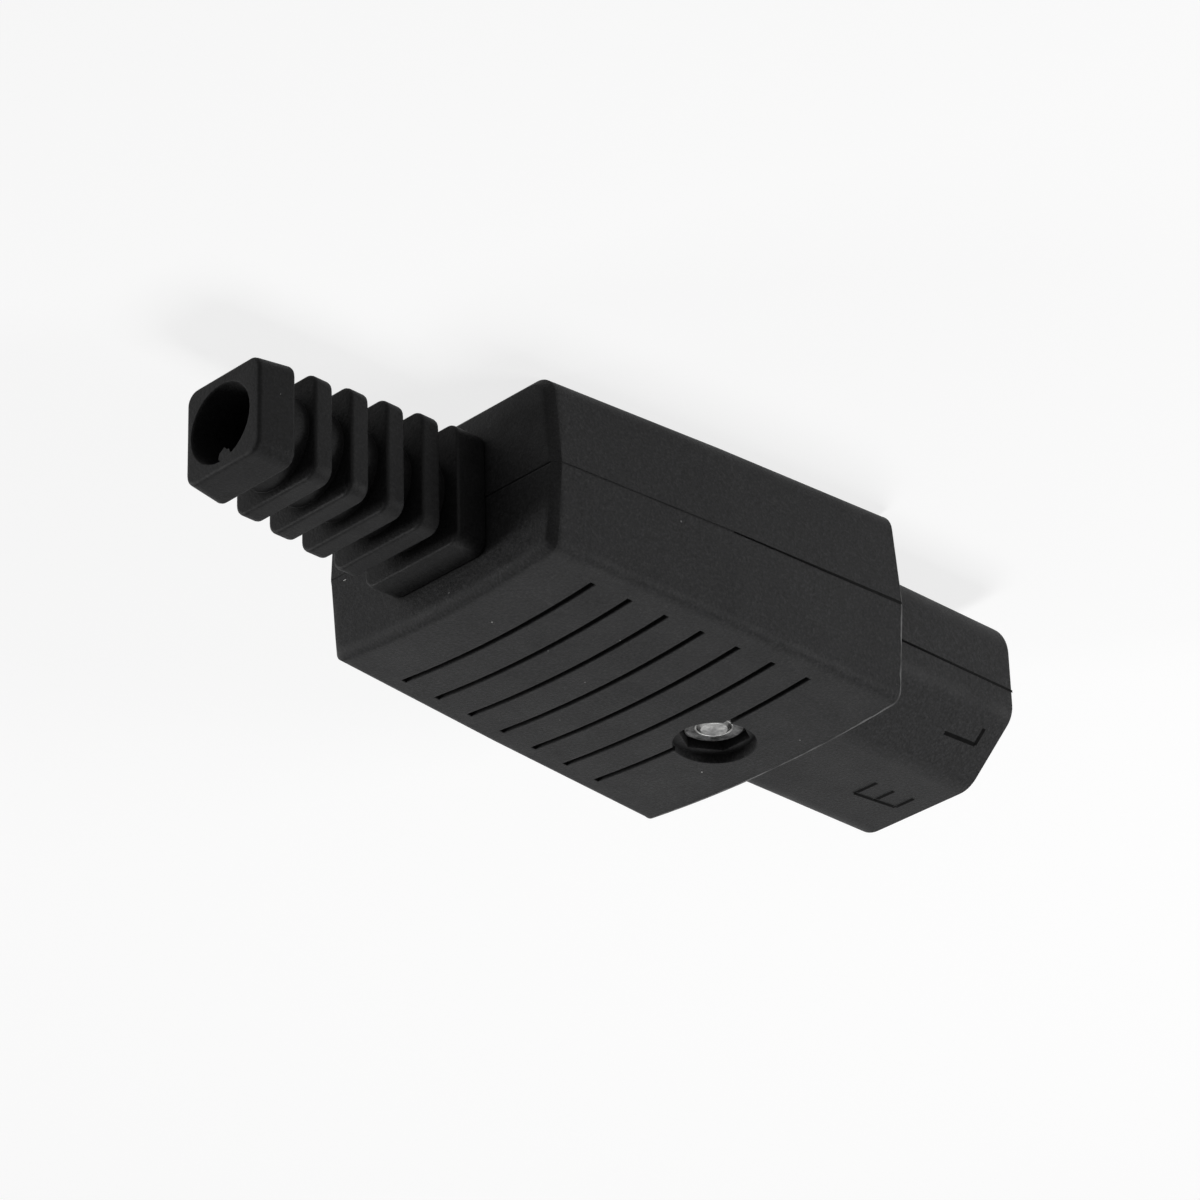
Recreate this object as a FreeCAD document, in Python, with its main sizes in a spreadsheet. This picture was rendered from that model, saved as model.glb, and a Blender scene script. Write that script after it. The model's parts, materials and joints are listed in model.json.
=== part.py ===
import FreeCAD, Part

import math
import os
import re

import Sketcher

# Rewirable three-pole connector with a moulded cord guard, in millimetres.
# +X points out of the mating face, whose centre is the origin.
# Z = 0 is the plane where the two shells meet, and +Z is the side with the
# nut, the grip grooves and the two cut corners of the nose.

SIZES = {
    # Nose, the part that enters the appliance inlet
    "nose_length": 20.0,
    "nose_half_width": 12.0,
    "nose_half_height": 7.86,
    "corner_cut_width": 5.78,
    "corner_cut_height": 5.32,
    "corner_cut_side_round": 2.5,
    "corner_cut_top_round": 2.9,
    "nose_lower_round": 4.0,
    "nose_end_break": 0.25,
    # Body behind the nose
    "body_length": 40.15,
    "front_half_width": 16.63,
    "middle_half_width": 15.7,
    "rear_half_width": 14.34,
    "upper_front_height": 9.26,
    "upper_rear_height": 7.8,
    "crown": 0.865,
    "lower_front_depth": 9.81,
    "lower_rear_depth": 9.04,
    "upper_side_draft": 0.0947,
    "lower_side_draft": 0.0825,
    "upper_long_round": 1.1,
    "lower_long_round": 2.2,
    "rear_break": 0.7,
    "seam_break": 0.08,
    # Walls of the shells
    "side_wall": 2.8,
    "front_wall": 2.5,
    "rear_wall": 2.0,
    "roof_wall": 1.2,
    "floor_wall": 1.84,
    # Shared allowances: how far joined forms run into each other and cuts run past a face
    "sink": 0.2,
    "overrun": 1.0,
    # Grip grooves across both broad faces
    "groove_count": 7,
    "groove_pitch": 4.1,
    "groove_width": 0.6,
    "groove_depth": 0.45,
    "groove_start": 8.9,
    "groove_margin": 3.0,
    # Pins of the inlet and their contacts
    "pole_spacing": 14.0,
    "earth_offset": 4.0,
    "pin_width": 4.0,
    "pin_thickness": 2.0,
    "pin_clearance": 0.25,
    "mouth_wall": 1.5,
    "contact_sheet": 0.6,
    "contact_height": 4.0,
    "contact_start": 2.0,
    "contact_throat": 4.2,
    "contact_swell": 7.0,
    "contact_web": 17.0,
    "throat_half_gap": 0.9,
    "flare_half_gap": 1.2,
    "leaf_half_gap": 1.15,
    "chamber_clearance": 0.15,
    # Terminals
    "terminal_length": 6.5,
    "terminal_top": 0.2,
    "terminal_break": 0.35,
    "terminal_front_gap": 0.7,
    "terminal_side_gap": 0.12,
    "terminal_side_wall": 0.75,
    "earth_terminal_gap": 4.1,
    "earth_plinth_height": 3.8,
    "wire_hole_height": 3.0,
    "terminal_screw_length": 4.8,
    "terminal_head_inset": 0.15,
    "terminal_head_height": 1.6,
    "terminal_head_gap": 0.6,
    "thread_clearance": 0.05,
    "jog_front_gap": 0.3,
    "jog_length": 2.2,
    "jog_return": 2.5,
    "tail_land": 0.5,
    "bypass_gap": 0.8,
    # Screw and nut that close the shells
    "closing_setback": 7.1,
    "closing_radius": 1.5,
    "closing_head_radius": 2.8,
    "closing_head_height": 1.9,
    "closing_head_sink": 0.27,
    "closing_hole_clearance": 0.15,
    "head_pocket_clearance": 0.3,
    "post_wall": 0.4,
    "nut_boss_radius": 4.5,
    "nut_floor": 1.5,
    "nut_across_flats": 5.5,
    "nut_thickness": 2.4,
    "nut_face_share": 0.95,
    "nut_cover": 1.57,
    "nut_pocket_clearance": 0.1,
    "nut_mouth_radius": 3.75,
    "nut_mouth_depth": 0.9,
    "screw_show": 0.2,
    "screw_end_chamfer": 0.3,
    # Cord clamp
    "clamp_width": 5.0,
    "clamp_side_gap": 1.87,
    "clamp_end_margin": 2.4,
    "clamp_flange_gap": 1.1,
    "clamp_seat_height": 0.6,
    "clamp_end_height": 2.2,
    "clamp_arch_height": 4.4,
    "clamp_arch_lean": 1.2,
    "clamp_foot_gap": 0.3,
    "clamp_grip_radius": 3.3,
    "clamp_post_radius": 2.3,
    "clamp_screw_radius": 1.4,
    "clamp_screw_length": 7.0,
    "clamp_head_radius": 2.5,
    "clamp_head_height": 1.8,
    "clamp_hole_clearance": 0.25,
    "cradle_width": 1.6,
    "cradle_gap": 0.3,
    "cradle_half_span": 5.2,
    "cradle_top_depth": 1.2,
    "trough_clearance": 0.3,
    # Cord guard
    "cord_radius": 3.55,
    "cord_axis_height": -0.35,
    "cord_axis_side": -0.25,
    "guard_end_half": 4.2,
    "guard_end_half_grown": 4.5,
    "guard_end_length": 3.75,
    "guard_length": 24.2,
    "rib_count": 4,
    "rib_pitch": 3.8,
    "rib_thickness": 1.96,
    "rib_first_half": 4.61,
    "rib_growth": 0.22,
    "base_slab_half": 5.5,
    "base_slab_length": 3.24,
    "guard_core_radius": 4.3,
    "guard_corner_round": 0.8,
    "guard_edge_break": 0.2,
    "neck_half": 4.7,
    "neck_clearance": 0.15,
    "flange_half": 6.2,
    "flange_thickness": 2.0,
    # Cross recess of the screws
    "recess_half_length": 1.2,
    "recess_half_width": 0.3,
    "recess_depth": 0.9,
}

# Places worked out from the sizes above
DERIVED = {
    "body_front": "-nose_length",
    "body_rear": "body_front - body_length",
    "cavity_front": "body_front - front_wall",
    "cavity_rear": "body_rear + rear_wall",
    "cavity_front_half": "front_half_width - side_wall",
    "cavity_rear_half": "rear_half_width - side_wall",
    "cavity_taper": "(cavity_front_half - cavity_rear_half) / (cavity_front - cavity_rear)",
    "roof_height": "upper_rear_height - roof_wall",
    "floor_depth": "lower_rear_depth - floor_wall",
    "pole_height": "-earth_offset / 2",
    "earth_height": "earth_offset / 2",
    "slot_half_width": "pin_thickness / 2 + pin_clearance",
    "slot_half_height": "pin_width / 2 + pin_clearance",
    "chamber_half_width": "max(leaf_half_gap; flare_half_gap) + contact_sheet + chamber_clearance",
    "chamber_half_height": "contact_height / 2 + chamber_clearance",
    "upper_slope": "(upper_front_height - upper_rear_height) / body_length",
    "lower_slope": "(lower_front_depth - lower_rear_depth) / body_length",
    "closing_x": "body_front - closing_setback",
    "face_at_screw": "upper_front_height + crown - upper_slope * closing_setback",
    "nut_mouth_floor": "face_at_screw - nut_mouth_depth",
    "nut_seat_height": "face_at_screw - nut_cover - nut_thickness",
    "screw_seat": "lower_slope * closing_setback - lower_front_depth + closing_head_sink"
                  " + closing_head_height",
    "closing_length": "nut_seat_height + nut_thickness + screw_show - screw_seat",
    "closing_hole_radius": "closing_radius + closing_hole_clearance",
    "head_pocket_radius": "closing_head_radius + head_pocket_clearance",
    "post_radius": "head_pocket_radius + post_wall",
    "nut_boss_bottom": "nut_seat_height - nut_floor",
    "nut_pocket_corner": "(nut_across_flats / 2 + nut_pocket_clearance) / cos(30 deg)",
    "nut_corner": "nut_across_flats / 2 / cos(30 deg)",
    "above_all": "upper_front_height + crown + overrun",
    "below_all": "-lower_front_depth - overrun",
    "plinth_top": "earth_plinth_height - floor_depth",
    "terminal_start": "nose_length + front_wall + terminal_front_gap",
    "terminal_end": "terminal_start + terminal_length",
    "terminal_inner": "pole_spacing / 2 + leaf_half_gap + contact_sheet",
    "terminal_outer": "cavity_rear_half - (terminal_end + cavity_rear) * cavity_taper"
                      " - terminal_side_gap",
    "terminal_width": "terminal_outer - terminal_inner",
    "terminal_middle": "(terminal_inner + terminal_outer) / 2",
    "terminal_height": "floor_depth + terminal_top",
    "wire_hole_radius": "terminal_width / 2 - terminal_side_wall",
    "terminal_screw_radius": "wire_hole_radius - thread_clearance",
    "terminal_head_radius": "terminal_width / 2 - terminal_head_inset",
    "earth_terminal_start": "nose_length + closing_setback + post_radius + earth_terminal_gap",
    "jog_start": "nose_length + front_wall + jog_front_gap",
    "jog_end": "jog_start + jog_length",
    "clamp_x": "flange_end + clamp_flange_gap + cradle_width + cradle_gap + clamp_width / 2",
    "clamp_half_span": "cavity_rear_half + (clamp_x - clamp_width / 2 - cavity_rear) * cavity_taper"
                       " - clamp_side_gap",
    "clamp_screw_spread": "clamp_half_span - clamp_end_margin",
    "clamp_arch_foot": "clamp_screw_spread - clamp_head_radius - clamp_foot_gap",
    "clamp_arch_half_width": "clamp_arch_foot - clamp_arch_lean",
    "guard_end": "body_rear - guard_length",
    "guard_end_back": "guard_end + guard_end_length",
    "base_slab_start": "body_rear - base_slab_length",
    "first_rib": "base_slab_start - rib_count * rib_pitch",
    "neck_end": "cavity_rear + neck_clearance",
    "flange_end": "neck_end + flange_thickness",
    "bypass": "post_radius + bypass_gap",
}

document = FreeCAD.newDocument("RewirableConnector")
sheet = document.addObject("Spreadsheet::Sheet", "Sizes")
for row, (alias, size) in enumerate(SIZES.items(), start=1):
    sheet.set(f"A{row}", alias)
    sheet.set(f"B{row}", str(size))
    sheet.setAlias(f"B{row}", alias)
document.recompute()

WORD = re.compile(r"[a-z][a-z_]*[a-z]")


def formula(text):
    """Write a formula of plain size names as an expression on the sheet."""
    def spell(match):
        word = match.group(0)
        if word in DERIVED:
            return "(" + formula(DERIVED[word]) + ")"
        return "Sizes." + word if word in SIZES else word
    return WORD.sub(spell, str(text))


def number(text):
    """Return the value of a formula in millimetres."""
    result = sheet.evalExpression(formula(text))
    return float(getattr(result, "Value", result))


def bind(thing, name, text):
    """Bind one property of an object to a formula."""
    thing.setExpression(name, formula(text))


def new_body(label):
    """Start a body whose label names its file."""
    body = document.addObject("PartDesign::Body", label)
    body.Label = label
    return body


def new_sketch(body, name, plane, offset="0"):
    """Put an empty sketch on one of the body's origin planes, moved along its normal."""
    sketch = body.newObject("Sketcher::SketchObject", name)
    support = [part for part in body.Origin.OriginFeatures if part.Role == plane][0]
    sketch.AttachmentSupport = [(support, "")]
    sketch.MapMode = "FlatFace"
    bind(sketch, "AttachmentOffset.Base.z", offset)
    return sketch


def hold(sketch, kind, geometry, point, text):
    """Hold one point's distance from the sketch origin to a formula."""
    place = sketch.addConstraint(Sketcher.Constraint(kind, -1, 1, geometry, point, number(text)))
    bind(sketch, f"Constraints[{place}]", text)


def outline(sketch, path):
    """Draw a closed outline from (across, up) formulas; a third one rounds the way to the next
    point with an arc of that radius, which turns to the left."""
    first = sketch.GeometryCount
    count = len(path)
    corners = [FreeCAD.Vector(number(stop[0]), number(stop[1]), 0) for stop in path]
    for place, stop in enumerate(path):
        start = corners[place]
        end = corners[(place + 1) % count]
        if len(stop) == 2:
            edge = Part.LineSegment(start, end)
        else:
            radius = number(stop[2])
            chord = end - start
            left = FreeCAD.Vector(-chord.y, chord.x, 0).normalize()
            rise = math.sqrt(radius ** 2 - (chord.Length / 2) ** 2)
            middle = (start + end) * 0.5 + left * rise
            full = Part.Circle(middle, FreeCAD.Vector(0, 0, 1), radius)
            angles = [math.atan2(tip.y - middle.y, tip.x - middle.x) for tip in (start, end)]
            edge = Part.ArcOfCircle(full, angles[0], angles[1])
        sketch.addGeometry(edge, False)
    for place in range(count):
        following = first + (place + 1) % count
        sketch.addConstraint(Sketcher.Constraint("Coincident", first + place, 2, following, 1))
    for place, stop in enumerate(path):
        hold(sketch, "DistanceX", first + place, 1, stop[0])
        hold(sketch, "DistanceY", first + place, 1, stop[1])
        if len(stop) > 2:
            size = sketch.addConstraint(
                Sketcher.Constraint("Radius", first + place, number(stop[2])))
            bind(sketch, f"Constraints[{size}]", stop[2])


def rectangle(sketch, low_across, high_across, low_up, high_up):
    """Draw a rectangle between two pairs of formulas."""
    outline(sketch, [(low_across, low_up), (high_across, low_up),
                     (high_across, high_up), (low_across, high_up)])


def circle(sketch, across, up, radius):
    """Draw a circle whose centre and radius are formulas."""
    middle = FreeCAD.Vector(number(across), number(up), 0)
    normal = FreeCAD.Vector(0, 0, 1)
    place = sketch.addGeometry(Part.Circle(middle, normal, number(radius)), False)
    hold(sketch, "DistanceX", place, 3, across)
    hold(sketch, "DistanceY", place, 3, up)
    size = sketch.addConstraint(Sketcher.Constraint("Radius", place, number(radius)))
    bind(sketch, f"Constraints[{size}]", radius)


def hexagon(sketch, across, up, corner):
    """Draw a hexagon with two corners on the sketch's vertical axis."""
    points = []
    for step in range(6):
        angle = 30 + 60 * step
        points.append((f"{across} + {corner} * cos({angle} deg)",
                       f"{up} + {corner} * sin({angle} deg)"))
    outline(sketch, points)


def extrude(body, kind, name, sketch, length, forward):
    """Pad or pocket a sketch; forward follows the sketch's own normal."""
    feature = body.newObject("PartDesign::" + kind, name)
    feature.Profile = sketch
    bind(feature, "Length", length)
    feature.Reversed = forward if kind == "Pocket" else not forward
    document.recompute()
    if kind == "Pocket" and not feature.Shape.Volume < feature.BaseFeature.Shape.Volume:
        raise ValueError(f"{name} cuts nothing")
    return feature


def pad(body, name, sketch, length, forward=True):
    """Add the prism of a sketch."""
    return extrude(body, "Pad", name, sketch, length, forward)


def pocket(body, name, sketch, length, forward=True):
    """Cut the prism of a sketch."""
    return extrude(body, "Pocket", name, sketch, length, forward)


def dress(body, kind, name, size, choose):
    """Round or break the edges of the body that the choosing test accepts."""
    document.recompute()
    base = body.Tip
    names = [f"Edge{place}" for place, edge in enumerate(base.Shape.Edges, start=1) if choose(edge)]
    if not names:
        raise ValueError(f"{name} finds no edge")
    feature = body.newObject("PartDesign::" + kind, name)
    feature.Base = (base, names)
    bind(feature, "Radius" if kind == "Fillet" else "Size", size)
    document.recompute()
    return feature


def runs_along(edge, axis, least):
    """Tell whether an edge spans at least a length along one axis and little across it."""
    box = edge.BoundBox
    spans = {"x": box.XLength, "y": box.YLength, "z": box.ZLength}
    others = [span for name, span in spans.items() if name != axis]
    return spans[axis] >= least and max(others) < 0.2 * spans[axis]


def revolve(body, kind, name, sketch):
    """Turn a sketch on the XZ plane once about the vertical axis."""
    feature = body.newObject("PartDesign::" + kind, name)
    feature.Profile = sketch
    feature.ReferenceAxis = (sketch, ["V_Axis"])
    feature.Angle = 360
    document.recompute()
    return feature


def arc_radius(half_width, rise):
    """Return the radius of an arc from its half width and rise."""
    return f"((({half_width})^2 + ({rise})^2) / (2 * ({rise})))"


def upper_section(body, name, place, half_width, height):
    """Draw the upper shell's outer section: leaning sides, rounded shoulders and a shallow crown."""
    sketch = new_sketch(body, name, "YZ_Plane", place)
    lean = "atan(upper_side_draft)"
    shoulder = f"(({half_width}) - upper_side_draft * ({height}))"
    fall = f"atan(2 * crown / {shoulder})"
    back = f"(upper_long_round * tan((90 deg - {lean} - {fall}) / 2))"
    radius = arc_radius(shoulder, "crown")
    top_across = f"({shoulder} - {back} * cos({fall}))"
    top_up = f"({height}) + crown - {radius} + sqrt({radius}^2 - {top_across}^2)"
    side_across = f"{shoulder} + {back} * sin({lean})"
    side_up = f"({height}) - {back} * cos({lean})"
    outline(sketch, [(f"-({half_width})", "0"), (half_width, "0"),
                     (side_across, side_up, "upper_long_round"),
                     (top_across, top_up, radius),
                     (f"-{top_across}", top_up, "upper_long_round"),
                     (f"-({side_across})", side_up)])
    return sketch


def lower_section(body, name, place, half_width, depth):
    """Draw the lower shell's outer section: leaning sides, rounded shoulders and a flat face."""
    sketch = new_sketch(body, name, "YZ_Plane", place)
    lean = "atan(lower_side_draft)"
    foot = f"(({half_width}) - lower_side_draft * ({depth}))"
    back = f"(lower_long_round * tan((90 deg - {lean}) / 2))"
    side_across = f"{foot} + {back} * sin({lean})"
    side_up = f"{back} * cos({lean}) - ({depth})"
    outline(sketch, [(half_width, "0"), (f"-({half_width})", "0"),
                     (f"-({side_across})", side_up, "lower_long_round"),
                     (f"{back} - {foot}", f"-({depth})"),
                     (f"{foot} - {back}", f"-({depth})", "lower_long_round"),
                     (side_across, side_up)])
    return sketch


def loft(body, name, sections):
    """Join the outer sections into one smooth body."""
    feature = body.newObject("PartDesign::AdditiveLoft", name)
    feature.Profile = sections[0]
    feature.Sections = sections[1:]
    feature.Ruled = True
    document.recompute()
    return feature


def break_rear_rim(body):
    """Break the rim of the rear face."""
    rear = number("body_rear")
    dress(body, "Chamfer", "RearBreak", "rear_break",
          lambda edge: abs(edge.BoundBox.XMin - rear) < 0.01
          and edge.BoundBox.XLength < 0.01
          and abs(edge.BoundBox.Center.z) > 0.05)


def hollow_shell(body, side):
    """Hollow one shell from the seam: wiring space, contact chambers and pin slots."""
    upward = side > 0
    cavity = new_sketch(body, "CavityPlan", "XY_Plane")
    outline(cavity, [("cavity_front", "-cavity_front_half"), ("cavity_front", "cavity_front_half"),
                     ("cavity_rear", "cavity_rear_half"), ("cavity_rear", "-cavity_rear_half")])
    pocket(body, "Cavity", cavity, "roof_height" if upward else "floor_depth", upward)

    neck = new_sketch(body, "NeckPlan", "XY_Plane")
    rectangle(neck, "body_rear - overrun", "cavity_rear + overrun",
              "-neck_half - neck_clearance", "neck_half + neck_clearance")
    lift = "cord_axis_height" if upward else "-cord_axis_height"
    pocket(body, "NeckOpening", neck, f"neck_half + neck_clearance + {lift}", upward)

    for label, height, sides in (("Pole", "pole_height", (-1, 1)), ("Earth", "earth_height", (0,))):
        chamber = new_sketch(body, label + "ChamberPlan", "XY_Plane")
        slot = new_sketch(body, label + "SlotPlan", "XY_Plane")
        for place in sides:
            middle = f"{place} * pole_spacing / 2"
            rectangle(chamber, "cavity_front - overrun", "-mouth_wall",
                      f"{middle} - chamber_half_width", f"{middle} + chamber_half_width")
            rectangle(slot, "-mouth_wall - sink", "overrun",
                      f"{middle} - slot_half_width", f"{middle} + slot_half_width")
        toward = height if upward else f"-({height})"
        pocket(body, label + "Chamber", chamber, f"chamber_half_height + {toward}", upward)
        pocket(body, label + "Slot", slot, f"slot_half_height + {toward}", upward)


def groove_half_length(step):
    """Return the formula of a groove's half length, which follows the body's taper."""
    along = f"(groove_start + {step} * groove_pitch) / body_length"
    return f"front_half_width + (rear_half_width - front_half_width) * {along} - groove_margin"


def cut_grooves(body, side):
    """Cut the grip grooves across one broad face, each parallel to the face."""
    for step in range(int(number("groove_count"))):
        distance = f"(groove_start + {step} * groove_pitch)"
        half = groove_half_length(step)
        sketch = new_sketch(body, f"GrooveSection{step + 1}", "YZ_Plane",
                            f"body_front - {distance} - groove_width / 2")
        if side > 0:
            edge = f"upper_front_height - upper_slope * {distance}"
            shoulder = f"(front_half_width - upper_side_draft * upper_front_height - {distance}"\
                       " * (front_half_width - rear_half_width) / body_length)"
            drop = f"crown * (({half}) / {shoulder})^2"
            low = f"{edge} + crown - groove_depth - {drop}"
            outline(sketch, [(f"-({half})", "above_all"), (half, "above_all"),
                             (half, low, arc_radius(half, drop)), (f"-({half})", low)])
        else:
            face = f"-(lower_front_depth - lower_slope * {distance})"
            rectangle(sketch, f"-({half})", half, "below_all", f"{face} + groove_depth")
        pocket(body, f"Groove{step + 1}", sketch, "groove_width")


def break_seam(body, side):
    """Set the outer edge of the seam back, which leaves the fine line between the shells."""
    inner = [("-seam_break", "nose_half_width - seam_break"),
             ("body_front - seam_break", "nose_half_width - seam_break"),
             ("body_front - seam_break", "front_half_width - seam_break"),
             ("body_front - body_length / 2", "middle_half_width - seam_break"),
             ("body_rear + seam_break", "rear_half_width - seam_break")]
    other_half = [(along, f"-({across})") for along, across in reversed(inner)]
    ring = new_sketch(body, "SeamPlan", "XY_Plane")
    outline(ring, inner + other_half)
    rectangle(ring, "body_rear - overrun", "overrun",
              "-front_half_width - overrun", "front_half_width + overrun")
    pocket(body, "SeamBreak", ring, "seam_break", side > 0)


def break_nose_end(body):
    """Break the rim of the mating face."""
    dress(body, "Chamfer", "NoseEndBreak", "nose_end_break",
          lambda edge: abs(edge.BoundBox.XMin) < 1e-4 and abs(edge.BoundBox.XMax) < 1e-4
          and abs(edge.BoundBox.Center.z) > 1e-3)


def make_upper_shell():
    """Build the shell with the crowned grooved face and the nut pocket."""
    body = new_body("upper_shell")
    middle = "body_front - body_length / 2"
    sections = [
        upper_section(body, "FrontSection", "body_front", "front_half_width", "upper_front_height"),
        upper_section(body, "MiddleSection", middle, "middle_half_width",
                      "(upper_front_height + upper_rear_height) / 2"),
        upper_section(body, "RearSection", "body_rear", "rear_half_width", "upper_rear_height"),
    ]
    loft(body, "Outside", sections)
    break_rear_rim(body)

    nose = new_sketch(body, "NoseSection", "YZ_Plane")
    inner = "nose_half_width - corner_cut_width"
    shoulder = "nose_half_height - corner_cut_height"
    outline(nose, [("-nose_half_width", "0"), ("nose_half_width", "0"),
                   ("nose_half_width", shoulder), (inner, "nose_half_height"),
                   (f"-({inner})", "nose_half_height"), ("-nose_half_width", shoulder)])
    pad(body, "Nose", nose, "nose_length + front_wall / 2", False)
    length = 0.9 * number("nose_length")
    side = number("nose_half_width")
    low = number(shoulder)
    high = number("nose_half_height")
    dress(body, "Fillet", "CutSideRound", "corner_cut_side_round",
          lambda edge: runs_along(edge, "x", length) and edge.BoundBox.XMax > -0.01
          and abs(abs(edge.BoundBox.Center.y) - side) < 0.01
          and abs(edge.BoundBox.Center.z - low) < 0.01)
    dress(body, "Fillet", "CutTopRound", "corner_cut_top_round",
          lambda edge: runs_along(edge, "x", length) and edge.BoundBox.XMax > -0.01
          and abs(edge.BoundBox.Center.z - high) < 0.01
          and abs(edge.BoundBox.Center.y) < side - 0.5)
    break_nose_end(body)
    hollow_shell(body, 1)

    boss = new_sketch(body, "NutBossPlan", "XY_Plane", "nut_boss_bottom")
    circle(boss, "closing_x", "0", "nut_boss_radius")
    pad(body, "NutBoss", boss, "roof_height + sink - nut_boss_bottom")
    post = new_sketch(body, "PostPlan", "XY_Plane")
    circle(post, "closing_x", "0", "post_radius")
    pad(body, "Post", post, "roof_height")
    hole = new_sketch(body, "ScrewHolePlan", "XY_Plane", "-overrun")
    circle(hole, "closing_x", "0", "closing_hole_radius")
    pocket(body, "ScrewHole", hole, "nut_seat_height + 2 * overrun")
    seat = new_sketch(body, "NutPocketPlan", "XY_Plane", "nut_seat_height")
    hexagon(seat, "closing_x", "0", "nut_pocket_corner")
    pocket(body, "NutPocket", seat, "above_all - nut_seat_height")
    mouth = new_sketch(body, "NutMouthPlan", "XY_Plane", "nut_mouth_floor")
    circle(mouth, "closing_x", "0", "nut_mouth_radius")
    pocket(body, "NutMouth", mouth, "above_all - nut_mouth_floor")
    cut_grooves(body, 1)
    break_seam(body, 1)
    return body


def make_lower_shell():
    """Build the shell that carries the terminals and the cord clamp."""
    body = new_body("lower_shell")
    middle = "body_front - body_length / 2"
    sections = [
        lower_section(body, "FrontSection", "body_front", "front_half_width", "lower_front_depth"),
        lower_section(body, "MiddleSection", middle, "middle_half_width",
                      "(lower_front_depth + lower_rear_depth) / 2"),
        lower_section(body, "RearSection", "body_rear", "rear_half_width", "lower_rear_depth"),
    ]
    loft(body, "Outside", sections)
    break_rear_rim(body)

    nose = new_sketch(body, "NoseSection", "YZ_Plane")
    rectangle(nose, "-nose_half_width", "nose_half_width", "-nose_half_height", "0")
    pad(body, "Nose", nose, "nose_length + front_wall / 2", False)
    length = 0.9 * number("nose_length")
    depth = number("nose_half_height")
    dress(body, "Fillet", "NoseLowerRound", "nose_lower_round",
          lambda edge: runs_along(edge, "x", length) and edge.BoundBox.XMax > -0.01
          and abs(edge.BoundBox.Center.z + depth) < 0.01)
    break_nose_end(body)
    hollow_shell(body, -1)

    post = new_sketch(body, "PostPlan", "XY_Plane")
    circle(post, "closing_x", "0", "post_radius")
    pad(body, "Post", post, "floor_depth + sink", False)
    plinth = new_sketch(body, "PlinthPlan", "XY_Plane", "plinth_top")
    rectangle(plinth, "-earth_terminal_start - terminal_length", "-earth_terminal_start",
              "-terminal_width / 2", "terminal_width / 2")
    pad(body, "EarthPlinth", plinth, "earth_plinth_height + sink", False)

    posts = new_sketch(body, "ClampPostPlan", "XY_Plane", "clamp_seat_height")
    for place in (-1, 1):
        circle(posts, "clamp_x", f"cord_axis_side + {place} * clamp_screw_spread", "clamp_post_radius")
    pad(body, "ClampPosts", posts, "clamp_seat_height + floor_depth + sink", False)
    cradle = new_sketch(body, "CradlePlan", "XY_Plane", "-cradle_top_depth")
    for place in (-1, 1):
        middle = f"clamp_x + {place} * (clamp_width / 2 + cradle_gap + cradle_width / 2)"
        rectangle(cradle, f"{middle} - cradle_width / 2", f"{middle} + cradle_width / 2",
                  "cord_axis_side - cradle_half_span", "cord_axis_side + cradle_half_span")
    pad(body, "Cradle", cradle, "floor_depth + sink - cradle_top_depth", False)
    trough = new_sketch(body, "CordTroughSection", "YZ_Plane",
                        "clamp_x - clamp_width / 2 - cradle_gap - 2 * cradle_width")
    circle(trough, "cord_axis_side", "cord_axis_height", "cord_radius + trough_clearance")
    pocket(body, "CordTrough", trough, "clamp_width + 2 * cradle_gap + 4 * cradle_width")
    pilot = new_sketch(body, "ClampPilotPlan", "XY_Plane", "clamp_seat_height")
    for place in (-1, 1):
        circle(pilot, "clamp_x", f"cord_axis_side + {place} * clamp_screw_spread",
               "clamp_screw_radius + thread_clearance")
    pocket(body, "ClampPilots", pilot, "clamp_screw_length - clamp_end_height + sink", False)

    hole = new_sketch(body, "ScrewHolePlan", "XY_Plane", "overrun")
    circle(hole, "closing_x", "0", "closing_hole_radius")
    pocket(body, "ScrewHole", hole, "lower_front_depth + 2 * overrun", False)
    head = new_sketch(body, "HeadPocketPlan", "XY_Plane", "screw_seat")
    circle(head, "closing_x", "0", "head_pocket_radius")
    pocket(body, "HeadPocket", head, "lower_front_depth + overrun + screw_seat", False)
    cut_grooves(body, -1)
    break_seam(body, -1)
    return body


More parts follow.
